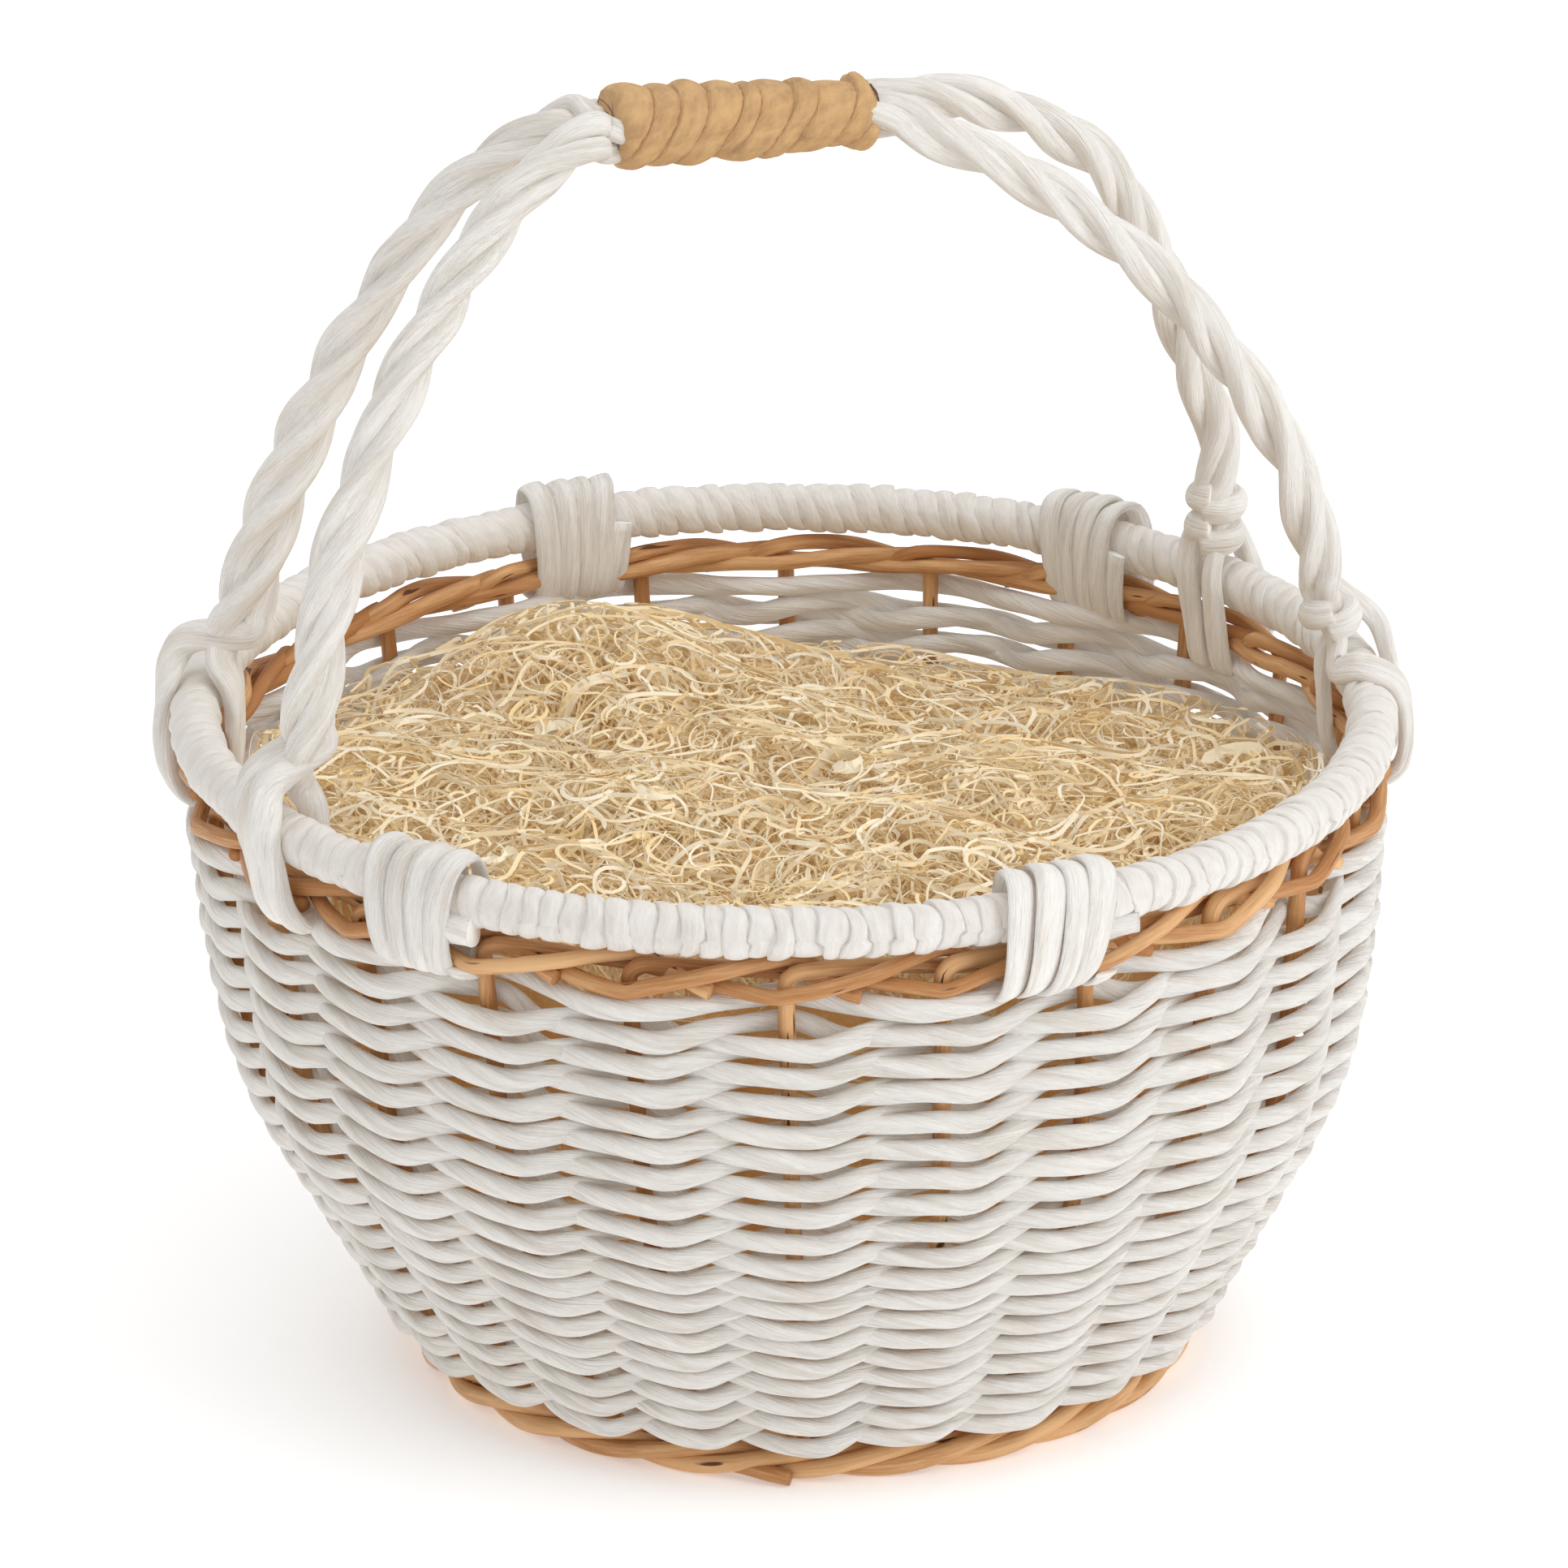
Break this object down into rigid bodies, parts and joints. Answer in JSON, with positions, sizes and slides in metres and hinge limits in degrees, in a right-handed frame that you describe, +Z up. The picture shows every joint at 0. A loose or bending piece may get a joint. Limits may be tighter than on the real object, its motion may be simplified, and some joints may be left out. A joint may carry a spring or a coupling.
{
  "type": "easter basket",
  "caption": "Round twined basket of paper rope on willow stakes, with a wrapped rim, a two-rope handle with a paper-bound grip, and a loose wood wool filling that lifts out.",
  "frame": {"origin": "middle of the basket's footprint, on the ground", "axes": "+Z up, +X along the handle, +Y towards the back"},
  "size_m": [0.3346, 0.3408, 0.353],
  "materials": {
    "willow": "satin",
    "paper_rope": "matte",
    "paper_ribbon": "matte",
    "handle_rope": "matte",
    "kraft_paper": "matte",
    "wood_wool": "matte"
  },
  "bodies": {
    "basket": {"base_sticks_lower": "willow", "base_sticks_upper": "willow", "base_weave_under": "willow", "base_weave_over": "willow", "foot_ring": "willow", "stake_01": "willow", "stake_02": "willow", "stake_03": "willow", "stake_04": "willow", "stake_05": "willow", "stake_06": "willow", "stake_07": "willow", "stake_08": "willow", "stake_09": "willow", "stake_10": "willow", "stake_11": "willow", "stake_12": "willow", "stake_13": "willow", "stake_14": "willow", "stake_15": "willow", "stake_16": "willow", "stake_17": "willow", "stake_18": "willow", "stake_19": "willow", "stake_20": "willow", "stake_21": "willow", "stake_22": "willow", "stake_23": "willow", "stake_24": "willow", "rim_hoop": "willow", "weave_row_01": "paper_rope", "weave_row_02": "paper_rope", "weave_row_03": "paper_rope", "weave_row_04": "paper_rope", "weave_row_05": "paper_rope", "weave_row_06": "paper_rope", "weave_row_07": "paper_rope", "weave_row_08": "paper_rope", "weave_row_09": "paper_rope", "weave_row_10": "paper_rope", "weave_row_11": "paper_rope", "weave_row_12": "paper_rope", "weave_row_13": "paper_rope", "weave_row_14": "paper_rope", "weave_row_15": "paper_rope", "weave_row_16": "paper_rope", "weave_row_17": "paper_rope", "weave_row_18": "paper_rope", "weave_top_strand": "paper_rope", "rim_wrap": "paper_ribbon", "lashing_front_left": "paper_rope", "lashing_front_right": "paper_rope", "lashing_back_left": "paper_rope", "lashing_back_right": "paper_rope", "handle_rope_front": "handle_rope", "handle_rope_back": "handle_rope", "grip_wrap": "kraft_paper"},
    "nest": {"wood_wool": "wood_wool"}
  },
  "joints": [
    {"name": "nest_lift", "type": "slide", "parent": "basket", "child": "nest", "axis": [0, 0, 1], "range_m": [0, 0.06]}
  ]
}
